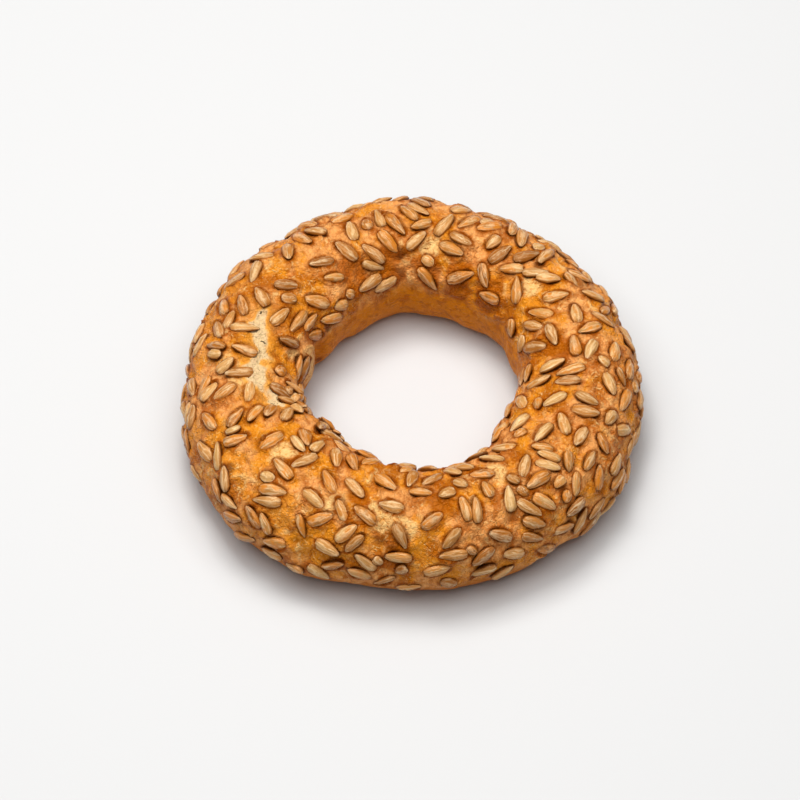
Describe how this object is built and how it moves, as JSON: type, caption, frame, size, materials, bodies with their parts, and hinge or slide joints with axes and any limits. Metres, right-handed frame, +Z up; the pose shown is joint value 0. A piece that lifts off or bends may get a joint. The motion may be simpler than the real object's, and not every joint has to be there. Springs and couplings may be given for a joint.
{
  "type": "simit",
  "caption": "Baked bread ring with an uneven golden crust, covered over the top and sides with hulled sunflower kernels. Its lower walls are bare and its foot is flat.",
  "frame": {"origin": "middle of the footprint's bounding box, on the plane of the flat foot", "axes": "+Z up through the hole, +X to the right and +Y away from the viewer in the reference view; the seam of the dough is at 150 degrees anticlockwise from +X"},
  "size_m": [0.1574, 0.1569, 0.0392],
  "materials": {
    "crust": "egg-washed baked crust, half glossy, with matt patches"
  },
  "bodies": {
    "root": {"simit": "crust"}
  },
  "joints": []
}
